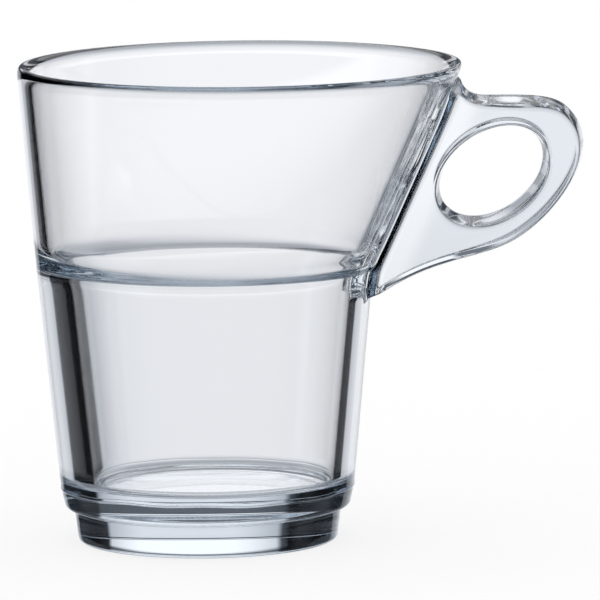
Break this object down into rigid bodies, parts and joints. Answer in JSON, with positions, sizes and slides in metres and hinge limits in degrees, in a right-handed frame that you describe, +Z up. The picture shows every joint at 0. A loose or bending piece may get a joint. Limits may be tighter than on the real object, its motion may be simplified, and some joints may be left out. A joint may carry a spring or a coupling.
{
  "type": "glass espresso mug",
  "caption": "Clear pressed-glass espresso mug with a stepped bowl that leans and flares towards a flat ring handle with a slanted oval finger hole.",
  "frame": {"origin": "on the table, under the middle of the whole mug, handle included; the axis of the foot stands 13.7 mm from it towards -X", "axes": "+Z up out of the mouth, +X from the bowl towards the handle, XZ the mug's plane of symmetry"},
  "size_m": [0.0796, 0.0624, 0.0675],
  "materials": {
    "clear_glass": "clear, fire-polished pressed glass, faintly blue-grey where it is thick"
  },
  "bodies": {
    "root": {"bowl": "clear_glass", "handle": "clear_glass"}
  },
  "joints": []
}
